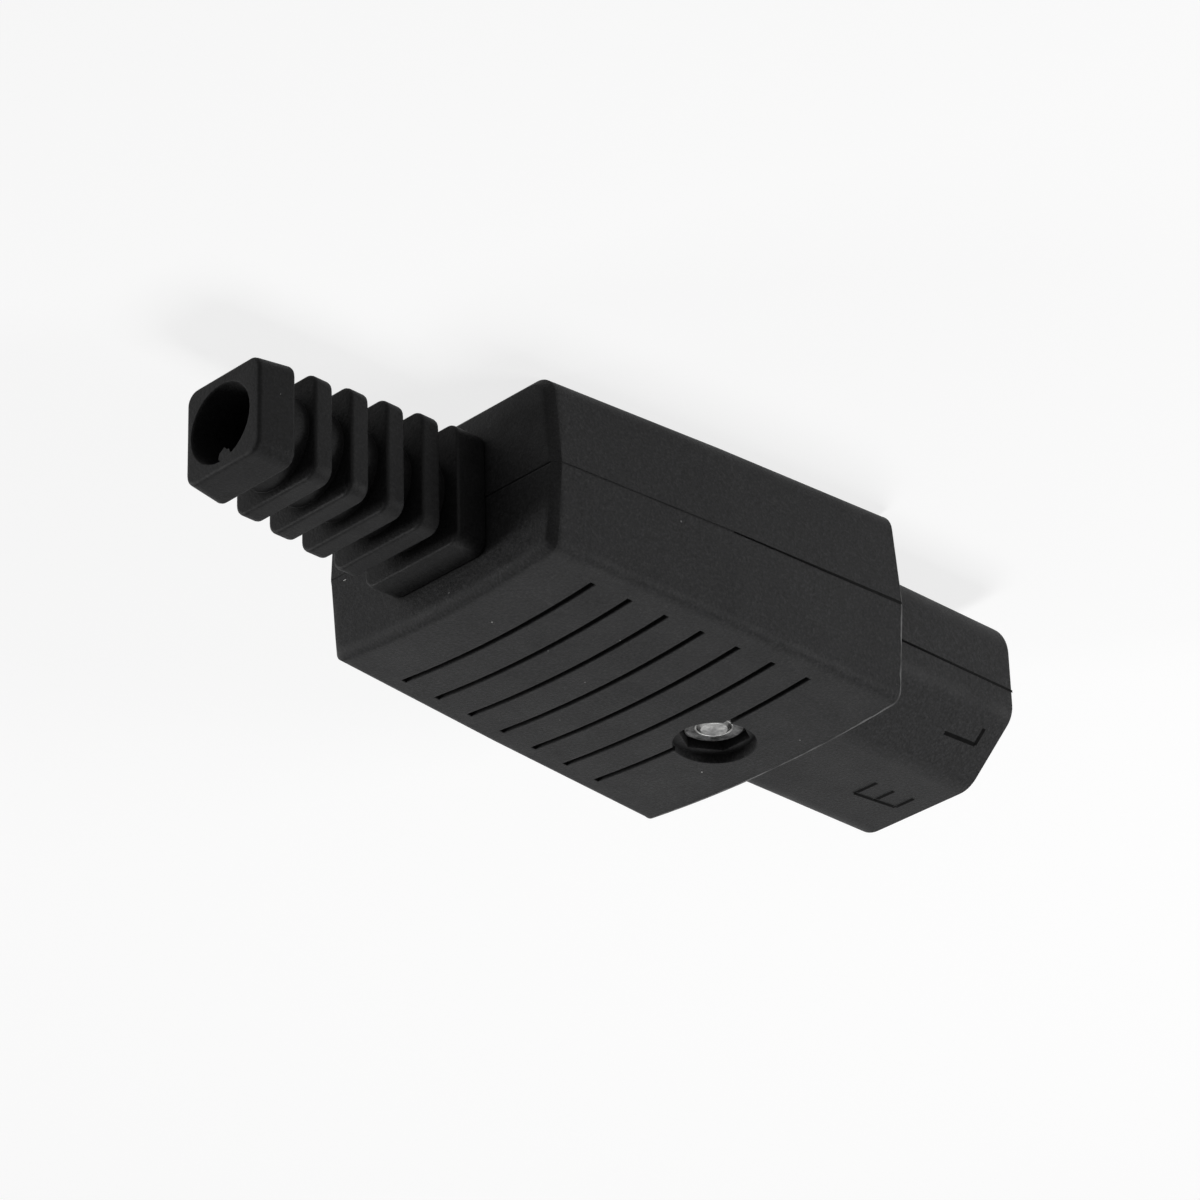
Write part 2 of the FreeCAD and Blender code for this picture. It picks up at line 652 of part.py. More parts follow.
def make_cord_guard():
    """Build the ribbed flexible guard with its neck and inner flange."""
    body = new_body("cord_guard")

    def square(name, place, half):
        sketch = new_sketch(body, name, "YZ_Plane", place)
        rectangle(sketch, f"-({half})", half,
                  f"cord_axis_height - ({half})", f"cord_axis_height + ({half})")
        return sketch

    ends = [square("EndOuter", "guard_end", "guard_end_half"),
            square("EndInner", "guard_end_back", "guard_end_half_grown")]
    loft(body, "EndBlock", ends)
    for step in range(int(number("rib_count"))):
        rib = square(f"RibSection{step + 1}", f"first_rib + {step} * rib_pitch",
                     f"rib_first_half + {step} * rib_growth")
        pad(body, f"Rib{step + 1}", rib, "rib_thickness")
        if step == 0:
            core = new_sketch(body, "CoreSection", "YZ_Plane", "guard_end_back - sink")
            circle(core, "0", "cord_axis_height", "guard_core_radius")
            pad(body, "Core", core, "base_slab_start - guard_end_back + 2 * sink")
    slab = square("BaseSlabSection", "base_slab_start", "base_slab_half")
    pad(body, "BaseSlab", slab, "base_slab_length")
    corner_length = 0.8 * number("rib_thickness")
    inside = number("guard_core_radius") - 0.3
    rear = number("body_rear")
    dress(body, "Fillet", "CornerRound", "guard_corner_round",
          lambda edge: runs_along(edge, "x", corner_length)
          and abs(edge.BoundBox.Center.y) > inside
          and abs(edge.BoundBox.Center.z - number("cord_axis_height")) > inside)
    core = number("guard_core_radius")

    def rim(edge):
        box = edge.BoundBox
        flat = box.XLength < 0.01
        outer = max(abs(box.YMin), abs(box.YMax)) > core + 0.02 \
            or max(abs(box.ZMin - number("cord_axis_height")),
                   abs(box.ZMax - number("cord_axis_height"))) > core + 0.02
        return flat and outer and abs(box.XMin - rear) > 0.01
    dress(body, "Chamfer", "EdgeBreak", "guard_edge_break",
          lambda edge: rim(edge) or (edge.BoundBox.XLength < 0.01
                                     and abs(edge.BoundBox.XMin - number("guard_end")) < 0.01))
    neck = square("NeckSection", "body_rear", "neck_half")
    pad(body, "Neck", neck, "neck_end - body_rear")
    flange = square("FlangeSection", "neck_end", "flange_half")
    pad(body, "Flange", flange, "flange_thickness")
    bore = new_sketch(body, "CordBoreSection", "YZ_Plane", "guard_end - overrun")
    circle(bore, "cord_axis_side", "cord_axis_height", "cord_radius")
    pocket(body, "CordBore", bore, "flange_end - guard_end + 2 * overrun")
    return body


def make_contact(label, place, height, tail):
    """Build a folded brass contact: two sprung leaves, a web and a tail to the terminal."""
    body = new_body(label)
    sign = -1 if place < 0 else 1
    middle = f"{place} * pole_spacing / 2"

    def at(distance, across):
        return (f"-({distance})", f"{middle} + {sign} * ({across})")

    sheet_back = "contact_web + contact_sheet"
    outer_leaf = [at("contact_start", "flare_half_gap + contact_sheet"),
                  at("contact_throat", "throat_half_gap + contact_sheet"),
                  at("contact_swell", "leaf_half_gap + contact_sheet")]
    tail_out = [at(distance, f"{across} + contact_sheet") for distance, across in tail]
    tail_back = [at(distance, across) for distance, across in reversed(tail)]
    other_leaf = [at(sheet_back, "leaf_half_gap"),
                  at(sheet_back, "-leaf_half_gap - contact_sheet"),
                  at("contact_swell", "-leaf_half_gap - contact_sheet"),
                  at("contact_throat", "-throat_half_gap - contact_sheet"),
                  at("contact_start", "-flare_half_gap - contact_sheet"),
                  at("contact_start", "-flare_half_gap"),
                  at("contact_throat", "-throat_half_gap"),
                  at("contact_swell", "-leaf_half_gap"),
                  at("contact_web", "-leaf_half_gap"),
                  at("contact_web", "leaf_half_gap"),
                  at("contact_swell", "leaf_half_gap"),
                  at("contact_throat", "throat_half_gap"),
                  at("contact_start", "flare_half_gap")]
    plan = new_sketch(body, "StripPlan", "XY_Plane", f"{height} - contact_height / 2")
    outline(plan, outer_leaf + tail_out + tail_back + other_leaf)
    pad(body, "Strip", plan, "contact_height")
    return body


def make_terminal(label, start, low, middle):
    """Build a brass pillar with a hole for the wire and a tapped hole for its screw."""
    body = new_body(label)
    plan = new_sketch(body, "PillarPlan", "XY_Plane", low)
    rectangle(plan, f"-({start}) - terminal_length", f"-({start})",
              f"{middle} - terminal_width / 2", f"{middle} + terminal_width / 2")
    pad(body, "Pillar", plan, "terminal_height")
    upright = 0.9 * number("terminal_height")
    dress(body, "Chamfer", "PillarBreak", "terminal_break",
          lambda edge: runs_along(edge, "z", upright))
    wire = new_sketch(body, "WireHoleSection", "YZ_Plane", f"-({start}) - terminal_length - overrun")
    circle(wire, middle, f"{low} + wire_hole_height", "wire_hole_radius")
    pocket(body, "WireHole", wire, "terminal_length + 2 * overrun")
    tapped = new_sketch(body, "ScrewHolePlan", "XY_Plane", f"{low} + wire_hole_height")
    circle(tapped, f"-({start}) - terminal_length / 2", middle,
           "terminal_screw_radius + thread_clearance")
    pocket(body, "ScrewHole", tapped, "terminal_height")
    return body


def make_screw(label, radius, length, head_radius, head_height, place, tip="0", flipped=False):
    """Build a cheese-head screw with a cross recess, its head seat at the given place."""
    body = new_body(label)
    profile = new_sketch(body, "Profile", "XZ_Plane")
    shank = [("0", f"-({length})"), (f"{radius} - {tip}", f"-({length})")]
    if number(tip) > 0:
        shank.append((radius, f"{tip} - ({length})"))
    outline(profile, shank + [(radius, "0"), (head_radius, "0"), (head_radius, head_height),
                              ("0", head_height)])
    revolve(body, "Revolution", "Turned", profile)
    recess = new_sketch(body, "RecessPlan", "XY_Plane", f"{head_height} - recess_depth")
    arm, half = "recess_half_length", "recess_half_width"
    outline(recess, [(arm, f"-{half}"), (arm, half), (half, half), (half, arm),
                     (f"-{half}", arm), (f"-{half}", half), (f"-{arm}", half), (f"-{arm}", f"-{half}"),
                     (f"-{half}", f"-{half}"), (f"-{half}", f"-{arm}"), (half, f"-{arm}"),
                     (half, f"-{half}")])
    pocket(body, "Recess", recess, "recess_depth + overrun")
    for axis, text in zip("xyz", place):
        bind(body, f"Placement.Base.{axis}", text)
    if flipped:
        body.Placement.Rotation = FreeCAD.Rotation(FreeCAD.Vector(1, 0, 0), 180)
    return body


def make_nut():
    """Build the hexagon nut with the corners of its outer face chamfered."""
    body = new_body("closing_nut")
    plan = new_sketch(body, "NutPlan", "XY_Plane")
    hexagon(plan, "0", "0", "nut_corner")
    pad(body, "Hexagon", plan, "nut_thickness")
    hole = new_sketch(body, "ThreadPlan", "XY_Plane", "-overrun")
    circle(hole, "0", "0", "closing_radius + thread_clearance")
    pocket(body, "ThreadHole", hole, "nut_thickness + 2 * overrun")
    flat = "nut_face_share * nut_across_flats / 2"
    outer = "nut_corner + sink"
    chamfer = new_sketch(body, "ChamferSection", "XZ_Plane")
    outline(chamfer, [(flat, "nut_thickness"),
                      (outer, f"nut_thickness - ({outer} - {flat}) * tan(30 deg)"),
                      (outer, "nut_thickness + sink"), (flat, "nut_thickness + sink")])
    revolve(body, "Groove", "CornerChamfer", chamfer)
    bind(body, "Placement.Base.x", "closing_x")
    bind(body, "Placement.Base.z", "nut_seat_height")
    return body


def make_clamp_bar():
    """Build the arched bar that grips the cord's sheath."""
    body = new_body("cord_clamp_bar")
    section = new_sketch(body, "BarSection", "YZ_Plane", "clamp_x - clamp_width / 2")
    low = "clamp_seat_height"
    end = "clamp_seat_height + clamp_end_height"
    top = "clamp_seat_height + clamp_arch_height"

    def at(across, up):
        return (f"cord_axis_side + ({across})", up)
    foot = "clamp_arch_foot"
    outline(section, [at("-clamp_half_span", low), at("clamp_half_span", low),
                      at("clamp_half_span", end), at(foot, end), at("clamp_arch_half_width", top),
                      at("-clamp_arch_half_width", top), at(f"-({foot})", end),
                      at("-clamp_half_span", end)])
    pad(body, "Bar", section, "clamp_width")
    grip = new_sketch(body, "GripSection", "YZ_Plane", "clamp_x - clamp_width / 2 - overrun")
    circle(grip, "cord_axis_side", "cord_axis_height", "clamp_grip_radius")
    pocket(body, "Grip", grip, "clamp_width + 2 * overrun")
    holes = new_sketch(body, "ScrewHolePlan", "XY_Plane", "clamp_seat_height - overrun")
    for place in (-1, 1):
        circle(holes, "clamp_x", f"cord_axis_side + {place} * clamp_screw_spread",
               "clamp_screw_radius + clamp_hole_clearance")
    pocket(body, "ScrewHoles", holes, "clamp_end_height + 2 * overrun")
    return body


def make_terminals():
    """Build the three contacts, their pillars and their screws."""
    pieces = []
    straight = [("terminal_end", "leaf_half_gap")]
    around = [("jog_start", "leaf_half_gap"), ("jog_end", "bypass"),
              ("earth_terminal_start - tail_land - jog_return", "bypass"),
              ("earth_terminal_start - tail_land", "terminal_width / 2"),
              ("earth_terminal_start + terminal_length", "terminal_width / 2")]
    rows = (("live", 1, "pole_height", straight, "terminal_start", "-floor_depth", "terminal_middle"),
            ("neutral", -1, "pole_height", straight, "terminal_start", "-floor_depth",
             "-terminal_middle"),
            ("earth", 0, "earth_height", around, "earth_terminal_start", "plinth_top", "0"))
    for label, place, height, tail, start, low, middle in rows:
        pieces.append(make_contact(label + "_contact", place, height, tail))
        pieces.append(make_terminal(label + "_terminal", start, low, middle))
        pieces.append(make_screw(label + "_terminal_screw", "terminal_screw_radius",
                                 "terminal_screw_length", "terminal_head_radius",
                                 "terminal_head_height",
                                 (f"-({start}) - terminal_length / 2", middle,
                                  f"{low} + terminal_height + terminal_head_gap")))
    return pieces


def make_clamp_screws():
    """Build the two screws of the cord clamp."""
    pieces = []
    for label, place in (("left", 1), ("right", -1)):
        pieces.append(make_screw("cord_clamp_screw_" + label, "clamp_screw_radius",
                                 "clamp_screw_length", "clamp_head_radius", "clamp_head_height",
                                 ("clamp_x", f"cord_axis_side + {place} * clamp_screw_spread",
                                  "clamp_seat_height + clamp_end_height")))
    return pieces


def check_and_export(pieces):
    """Stop on any failed object, then write one file for each piece."""
    document.recompute()
    for thing in document.Objects:
        if "Invalid" in thing.State or "Error" in thing.State:
            raise RuntimeError(f"{thing.Name} failed: {thing.State}")
    for piece in pieces:
        shape = piece.Shape
        if shape.isNull() or not shape.isValid() or len(shape.Solids) != 1:
            raise RuntimeError(f"{piece.Label} is not one valid solid")
    os.makedirs("parts", exist_ok=True)
    for piece in pieces:
        piece.Shape.exportStep(f"parts/{piece.Label}.step")
        print(piece.Label, round(piece.Shape.Volume, 3))


closing_screw = make_screw("closing_screw", "closing_radius", "closing_length",
                           "closing_head_radius", "closing_head_height",
                           ("closing_x", "0", "screw_seat"), "screw_end_chamfer", True)
check_and_export([make_upper_shell(), make_lower_shell(), make_cord_guard(), closing_screw,
                  make_nut(), make_clamp_bar()] + make_terminals() + make_clamp_screws())
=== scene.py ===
import json
import math

import bmesh
import bpy
from mathutils import Matrix, Vector, noise


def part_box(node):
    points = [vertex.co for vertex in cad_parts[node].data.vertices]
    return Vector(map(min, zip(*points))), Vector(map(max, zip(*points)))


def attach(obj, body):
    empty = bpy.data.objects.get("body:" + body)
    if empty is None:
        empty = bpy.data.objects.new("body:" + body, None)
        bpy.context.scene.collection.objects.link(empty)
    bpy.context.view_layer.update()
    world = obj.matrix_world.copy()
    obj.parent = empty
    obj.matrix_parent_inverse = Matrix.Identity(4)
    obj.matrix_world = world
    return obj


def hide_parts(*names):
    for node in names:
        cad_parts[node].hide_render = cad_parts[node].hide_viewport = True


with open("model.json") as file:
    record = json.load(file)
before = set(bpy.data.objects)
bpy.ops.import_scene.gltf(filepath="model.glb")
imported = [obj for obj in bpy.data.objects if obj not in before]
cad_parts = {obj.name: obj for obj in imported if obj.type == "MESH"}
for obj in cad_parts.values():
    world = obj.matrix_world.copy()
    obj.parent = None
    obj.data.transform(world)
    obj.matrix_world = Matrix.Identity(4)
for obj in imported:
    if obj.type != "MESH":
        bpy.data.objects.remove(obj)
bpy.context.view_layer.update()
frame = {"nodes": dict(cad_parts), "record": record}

# Blender works in metres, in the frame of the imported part. Places and sizes on the part are
# written in millimetres and multiplied by MM; those of the camera, floor and lamps are in metres.
MM = 0.001

# Body behind the nose
BODY_FRONT = -20.0
BODY_MIDDLE = -40.075
BODY_REAR = -60.15
BODY_HALF_WIDTH = 16.63
UPPER_HEIGHT = 9.26
UPPER_DRAFT = 0.0947
UPPER_ROUND = 1.1
CROWN = 0.865
LOWER_DEPTH = 9.81
LOWER_REAR_DEPTH = 9.04
LOWER_DRAFT = 0.0825
LOWER_ROUND = 2.2

# Nose
NOSE_HALF_WIDTH = 12.0
NOSE_HEIGHT = 7.86
CUT_WIDTH = 5.78
CUT_HEIGHT = 5.32
CUT_MIDDLE = (9.8, 4.565)

# Guard
GUARD_END = -84.35
END_BLOCK_FRONT = -80.6
END_BLOCK_HALVES = (4.6, 4.88)
FIRST_RIB = -78.59
RIB_COUNT = 4
RIB_PITCH = 3.8
RIB_THICKNESS = 1.96
FIRST_RIB_HALF = 5.0
RIB_GROWTH = 0.22
SLAB_START = -63.39
SLAB_HALF = 5.85
NECK_END = -57.99
NECK_HALF = 4.7
FLANGE_END = -55.99
FLANGE_HALF = 6.2
CORE_RADIUS = 4.2
BORE_RADIUS = 3.55
BORE_LIP_DEPTH = 0.25
BORE_LIP_WIDTH = 0.15
OUTER_CORNER = 1.3
INNER_CORNER = 0.6
END_EDGE = 0.35
RIB_EDGE = 0.3
SLAB_EDGE = 0.25


# Materials

BEVEL_SAMPLES = 6
OPENNESS_SAMPLES = 4
RIM_BAND = (-57.5 * MM, -58.8 * MM)
SEAM_BAND = (1.2 * MM, 2.8 * MM)
RECESS_SHADE_REACH = 0.9 * MM
DUST_TONE = (0.2, 0.2, 0.2)


def shaded(colour, factor):
    """Return a colour times a factor."""
    return tuple(factor * channel for channel in colour)


class Recipe:
    """A node material that is built up step by step in the part's own coordinates."""

    def __init__(self, name):
        self.material = bpy.data.materials.new(name)
        self.material.use_nodes = True
        self.nodes = self.material.node_tree.nodes
        self.links = self.material.node_tree.links
        self.shader = self.nodes["Principled BSDF"]
        self.place = self.nodes.new("ShaderNodeTexCoord").outputs["Object"]

    def link(self, source, target):
        """Join an output to an input."""
        self.links.new(source, target)

    def stretched(self, scale):
        """Return the coordinates multiplied by a scale for each axis."""
        mapping = self.nodes.new("ShaderNodeMapping")
        mapping.inputs["Scale"].default_value = scale
        self.link(self.place, mapping.inputs["Vector"])
        return mapping.outputs["Vector"]

    def noise(self, per_metre, detail=3.0, roughness=0.55, place=None):
        """Return cloudy noise with a number of features to the metre."""
        texture = self.nodes.new("ShaderNodeTexNoise")
        texture.inputs["Scale"].default_value = per_metre
        texture.inputs["Detail"].default_value = detail
        texture.inputs["Roughness"].default_value = roughness
        self.link(place or self.place, texture.inputs["Vector"])
        return texture.outputs["Fac"]

    def span(self, value, low, high, to_low=0.0, to_high=1.0):
        """Stretch one range of a value over another."""
        node = self.nodes.new("ShaderNodeMapRange")
        node.inputs["From Min"].default_value = low
        node.inputs["From Max"].default_value = high
        node.inputs["To Min"].default_value = to_low
        node.inputs["To Max"].default_value = to_high
        self.link(value, node.inputs["Value"])
        return node.outputs["Result"]

    def combine(self, operation, first, second):
        """Return the result of a sum on two values, each a number or a socket."""
        node = self.nodes.new("ShaderNodeMath")
        node.operation = operation
        for socket, value in zip(node.inputs, (first, second)):
            if isinstance(value, float):
                socket.default_value = value
            else:
                self.link(value, socket)
        return node.outputs[0]

    def mix(self, share, first, second):
        """Blend two colours, each a tuple or a socket."""
        node = self.nodes.new("ShaderNodeMix")
        node.data_type = "RGBA"
        self.link(share, node.inputs["Factor"])
        for socket, value in zip((node.inputs[6], node.inputs[7]), (first, second)):
            if isinstance(value, tuple):
                socket.default_value = (*value, 1.0)
            else:
                self.link(value, socket)
        return node.outputs[2]

    def bump(self, height, distance, normal=None):
        """Return normals raised by a height, on top of other normals."""
        node = self.nodes.new("ShaderNodeBump")
        node.inputs["Distance"].default_value = distance
        self.link(height, node.inputs["Height"])
        if normal:
            self.link(normal, node.inputs["Normal"])
        return node.outputs["Normal"]

    def soft_edges(self, radius):
        """Return normals that are rounded over sharp edges; the radius is a number or a socket."""
        node = self.nodes.new("ShaderNodeBevel")
        node.samples = BEVEL_SAMPLES
        if isinstance(radius, float):
            node.inputs["Radius"].default_value = radius
        else:
            self.link(radius, node.inputs["Radius"])
        return node.outputs["Normal"]

    def openness(self, distance):
        """Return how open the surface is to its surroundings, 0 in tight recesses."""
        node = self.nodes.new("ShaderNodeAmbientOcclusion")
        node.samples = OPENNESS_SAMPLES
        node.inputs["Distance"].default_value = distance
        return self.span(node.outputs["AO"], 0.5, 0.93)

    def axis(self, name):
        """Return one of the part's own coordinates."""
        split = self.nodes.new("ShaderNodeSeparateXYZ")
        self.link(self.place, split.inputs["Vector"])
        return split.outputs[name]

    def set(self, **values):
        """Set or link sockets of the shader by their names."""
        for name, value in values.items():
            socket = self.shader.inputs[name.replace("_", " ")]
            if isinstance(value, (int, float)):
                socket.default_value = value
            elif isinstance(value, tuple):
                socket.default_value = (*value, 1.0)
            else:
                self.link(value, socket)
        return self.material


def moulded_plastic(name, dark, light, grain, grain_depth, edge, specular, rim=None):
    """Black moulded plastic: fine grain, cloudy tone, faint rubs along the part, dust specks and
    painted shade in recesses.

    edge is the radius of the softened edges, and rim the wider radius round the rear face,
    away from the seam.
    """
    recipe = Recipe(name)
    if rim:
        near_rear = recipe.span(recipe.axis("X"), *RIM_BAND)
        off_seam = recipe.span(recipe.combine("ABSOLUTE", recipe.axis("Z"), 0.0), *SEAM_BAND)
        edge = recipe.span(recipe.combine("MULTIPLY", near_rear, off_seam), 0.0, 1.0, edge, rim)
    cloud = recipe.span(recipe.noise(220.0, 5.0, 0.6), 0.32, 0.68)
    fine = recipe.noise(grain, 4.0, 0.7)
    tone = recipe.mix(cloud, dark, light)
    pits = recipe.span(fine, 0.5, 0.32, 0.0, 0.9)
    tone = recipe.mix(pits, tone, shaded(dark, 0.25))
    speckle = recipe.span(fine, 0.52, 0.7, 0.0, 0.55)
    tone = recipe.mix(speckle, tone, shaded(light, 2.9))
    rub_along = recipe.noise(1.0, 3.0, 0.6, recipe.stretched((90.0, 1900.0, 1900.0)))
    rub_patch = recipe.span(recipe.noise(70.0, 2.0), 0.5, 0.66)
    rubs = recipe.combine("MULTIPLY", recipe.span(rub_along, 0.6, 0.74), rub_patch)
    tone = recipe.mix(recipe.combine("MULTIPLY", rubs, 0.3), tone, shaded(light, 3.4))
    dust = recipe.nodes.new("ShaderNodeTexVoronoi")
    dust.inputs["Scale"].default_value = 420.0
    recipe.link(recipe.place, dust.inputs["Vector"])
    rare = recipe.combine("GREATER_THAN", recipe.noise(333.0, 0.0), 0.6)
    specks = recipe.combine("MULTIPLY", recipe.span(dust.outputs["Distance"], 0.045, 0.02), rare)
    tone = recipe.mix(recipe.combine("MULTIPLY", specks, 0.8), tone, DUST_TONE)
    # Painted shade: the colour is darkened where the surface is hemmed in by nearby geometry, in
    # grooves, gaps and recesses.
    tone = recipe.mix(recipe.openness(RECESS_SHADE_REACH), shaded(dark, 0.42), tone)
    rough = recipe.span(recipe.combine("ADD", fine, recipe.combine("MULTIPLY", cloud, 0.5)),
                        0.4, 1.1, 0.47, 0.66)
    undulation = recipe.bump(recipe.noise(380.0, 2.0), 0.012 * MM, recipe.soft_edges(edge))
    normal = recipe.bump(fine, grain_depth, undulation)
    return recipe.set(Base_Color=tone, Roughness=rough, Specular_IOR_Level=specular, Normal=normal)


def metal(name, dark, light, grain, roughness, stretch=(1.0, 1.0, 1.0), depth=0.01 * MM):
    """Metal with a mottled or drawn surface."""
    recipe = Recipe(name)
    fine = recipe.noise(grain, 5.0, 0.65, recipe.stretched(stretch))
    coarse = recipe.noise(0.22 * grain, 3.0, 0.5)
    shade = recipe.span(recipe.combine("MULTIPLY", fine, coarse), 0.14, 0.38)
    rough = recipe.span(coarse, 0.3, 0.7, roughness - 0.08, roughness + 0.12)
    normal = recipe.bump(fine, depth, recipe.soft_edges(0.06 * MM))
    return recipe.set(Base_Color=recipe.mix(shade, dark, light), Metallic=1.0,
                      Roughness=rough, Normal=normal)


def plain_matter(name, dark, light, grain, roughness, specular):
    """Return the material of dust, of flash coloured pale as a painted highlight, or of a dark line
    of painted shade.
    """
    recipe = Recipe(name)
    shade = recipe.span(recipe.noise(grain, 3.0), 0.35, 0.65)
    return recipe.set(Base_Color=recipe.mix(shade, dark, light), Roughness=roughness,
                      Specular_IOR_Level=specular)


HOUSING = moulded_plastic("housing", (0.0125, 0.0125, 0.0128), (0.0168, 0.0168, 0.0172),
                          3700.0, 0.06 * MM, 0.16 * MM, 0.1, 1.1 * MM)
GUARD = moulded_plastic("flexible_guard", (0.0055, 0.0055, 0.0057), (0.008, 0.008, 0.0082),
                        3400.0, 0.06 * MM, 0.12 * MM, 0.1)
CLAMP = moulded_plastic("clamp_plastic", (0.02, 0.02, 0.021), (0.028, 0.028, 0.029),
                        4800.0, 0.015 * MM, 0.15 * MM, 0.15)
BRASS = metal("brass", (0.52, 0.36, 0.14), (0.8, 0.62, 0.31), 3200.0, 0.32, (0.3, 1.0, 1.0))
STEEL = metal("plated_steel", (0.42, 0.42, 0.41), (0.7, 0.7, 0.68), 3000.0, 0.3)
NUT = metal("nut_face", (0.03, 0.03, 0.03), (0.16, 0.16, 0.16), 3600.0, 0.5, depth=0.03 * MM)
SCREW_END = metal("screw_end", (0.16, 0.16, 0.16), (0.45, 0.45, 0.44), 2600.0, 0.35)
# Pale flash: a painted highlight of the lit front rim, laid on a thin flash fin.
FLASH_PAINTED_HIGHLIGHT = plain_matter("flash", (0.035, 0.035, 0.035), (0.16, 0.16, 0.16), 420.0, 0.6, 0.2)
# Painted shade: near-black matter for the letters' grooves and the seam's gap, where only shadow is
# seen.
PAINTED_SHADE_MARK = plain_matter("letter_and_seam_painted_shade", (0.002, 0.002, 0.002), (0.005, 0.005, 0.005),
                    2500.0, 0.9, 0.05)
DUST = plain_matter("dust", (0.35, 0.35, 0.34), (0.7, 0.7, 0.68), 4000.0, 0.8, 0.3)

FINISH = {"housing": HOUSING, "flexible_guard": GUARD, "clamp_plastic": CLAMP,
          "brass": BRASS, "plated_steel": STEEL}
OWN_FINISH = {"closing_nut": NUT, "closing_screw": SCREW_END}

slots = {part["node"]: part["material_slot"] for part in frame["record"]["subparts"]}
for node, thing in frame["nodes"].items():
    finish = OWN_FINISH.get(node, FINISH[slots[node]])
    for place in range(len(thing.material_slots)):
        thing.material_slots[place].material = finish


# Pieces

def add_piece(name, build, slot, *materials):
    """Make a mesh piece from a bmesh and let it ride with the part."""
    mesh = bpy.data.meshes.new(name)
    build.to_mesh(mesh)
    build.free()
    for material in materials:
        mesh.materials.append(material)
    piece = bpy.data.objects.new(name, mesh)
    bpy.context.collection.objects.link(piece)
    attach(piece, "root")
    return piece


def join_loops(build, loops):
    """Join closed loops of points by smooth faces, each loop to the next."""
    for first, second in zip(loops, loops[1:]):
        for place in range(len(first)):
            following = (place + 1) % len(first)
            face = build.faces.new((first[place], first[following],
                                    second[following], second[place]))
            face.smooth = True


# Letters of the poles on the nose: dark strokes of painted shade standing in for the engraved
# grooves, each with a soft lip along one side

def add_stroke(build, start, end, normal, width):
    """Lay one stroke of a letter on a flat face, its dark ground of painted shade first and its lit
    lip second.
    """
    along = (end - start).normalized()
    across = normal.cross(along)
    # The dark ground is painted shade, standing in for the shadow inside an engraved stroke.
    ground = [(-0.5 * width, 0.0), (-0.4 * width, 0.012 * MM),
              (0.4 * width, 0.012 * MM), (0.5 * width, 0.0)]
    lip = [(0.42 * width, 0.0), (0.55 * width, 0.03 * MM), (0.75 * width, 0.0)]
    for section, material in ((ground, 0), (lip, 1)):
        rows = [[build.verts.new(tip + across * side + normal * rise) for side, rise in section]
                for tip in (start, end)]
        for place in range(len(section) - 1):
            face = build.faces.new((rows[0][place], rows[0][place + 1],
                                    rows[1][place + 1], rows[1][place]))
            face.material_index = material


def add_letter(name, strokes, origin, right, up, width):
    """Make one letter from strokes in the plane of a face."""
    build = bmesh.new()
    normal = right.cross(up)
    for start, end in strokes:
        tips = [origin + (right * tip[0] + up * tip[1]) * MM + normal * 0.004 * MM
                for tip in (start, end)]
        add_stroke(build, tips[0], tips[1], normal, width)
    add_piece(name, build, "housing", PAINTED_SHADE_MARK, HOUSING)


ALONG = Vector((1, 0, 0))
ACROSS = Vector((0, 1, 0))
LEFT_SLOPE = Vector((0, -CUT_WIDTH, CUT_HEIGHT)).normalized()
RIGHT_SLOPE = Vector((0, -CUT_WIDTH, -CUT_HEIGHT)).normalized()
LEFT_CUT = Vector((0, CUT_MIDDLE[0], CUT_MIDDLE[1])) * MM
RIGHT_CUT = Vector((0, -CUT_MIDDLE[0], CUT_MIDDLE[1])) * MM
NOSE_TOP = Vector((0, 0, NOSE_HEIGHT)) * MM

add_letter("letter_E", [((-7.6, -1.2), (-2.7, -0.65)), ((-7.6, -1.2), (-7.6, 1.55)),
                        ((-5.2, -0.9), (-5.2, 1.45)), ((-2.7, -0.65), (-2.7, 1.6))],
           NOSE_TOP, ALONG, ACROSS, 0.46 * MM)
add_letter("letter_L", [((2.5, -0.8), (2.5, 0.89)), ((2.5, 0.89), (6.5, 1.02))],
           LEFT_CUT, -ALONG, LEFT_SLOPE, 0.4 * MM)
add_letter("letter_N", [((2.5, -0.9), (2.5, 0.9)), ((2.5, 0.9), (5.6, -0.9)),
                        ((5.6, -0.9), (5.6, 0.9))],
           RIGHT_CUT, -ALONG, RIGHT_SLOPE, 0.3 * MM)


# Moulding flash along the front rim of the housing, where the mould halves close; its pale colour
# is a painted highlight of the lit rim edge

def section_edge(half_width, height, draft, corner, crown, sign, steps=9):
    """Return points up one side of a shell's front, round its shoulder and over its face."""
    shoulder = half_width - draft * height
    lean = math.atan(draft)
    fall = math.atan(2 * crown / shoulder)
    back = corner * math.tan((math.pi / 2 - lean - fall) / 2)
    middle = (shoulder + back * math.sin(lean) - corner * math.cos(lean),
              height - back * math.cos(lean) - corner * math.sin(lean))
    points = [Vector((0, half_width - draft * rise, sign * rise)) for rise in (0.1, 0.4 * height)]
    for step in range(steps + 1):
        turn = lean + (math.pi / 2 - fall - lean) * step / steps
        points.append(Vector((0, middle[0] + corner * math.cos(turn),
                              sign * (middle[1] + corner * math.sin(turn)))))
    inner = points[-1].y
    for step in range(1, steps + 1):
        across = inner * (1 - step / steps)
        rise = crown * (1 - (across / shoulder) ** 2)
        points.append(Vector((0, across, sign * (height + rise))))
    return points


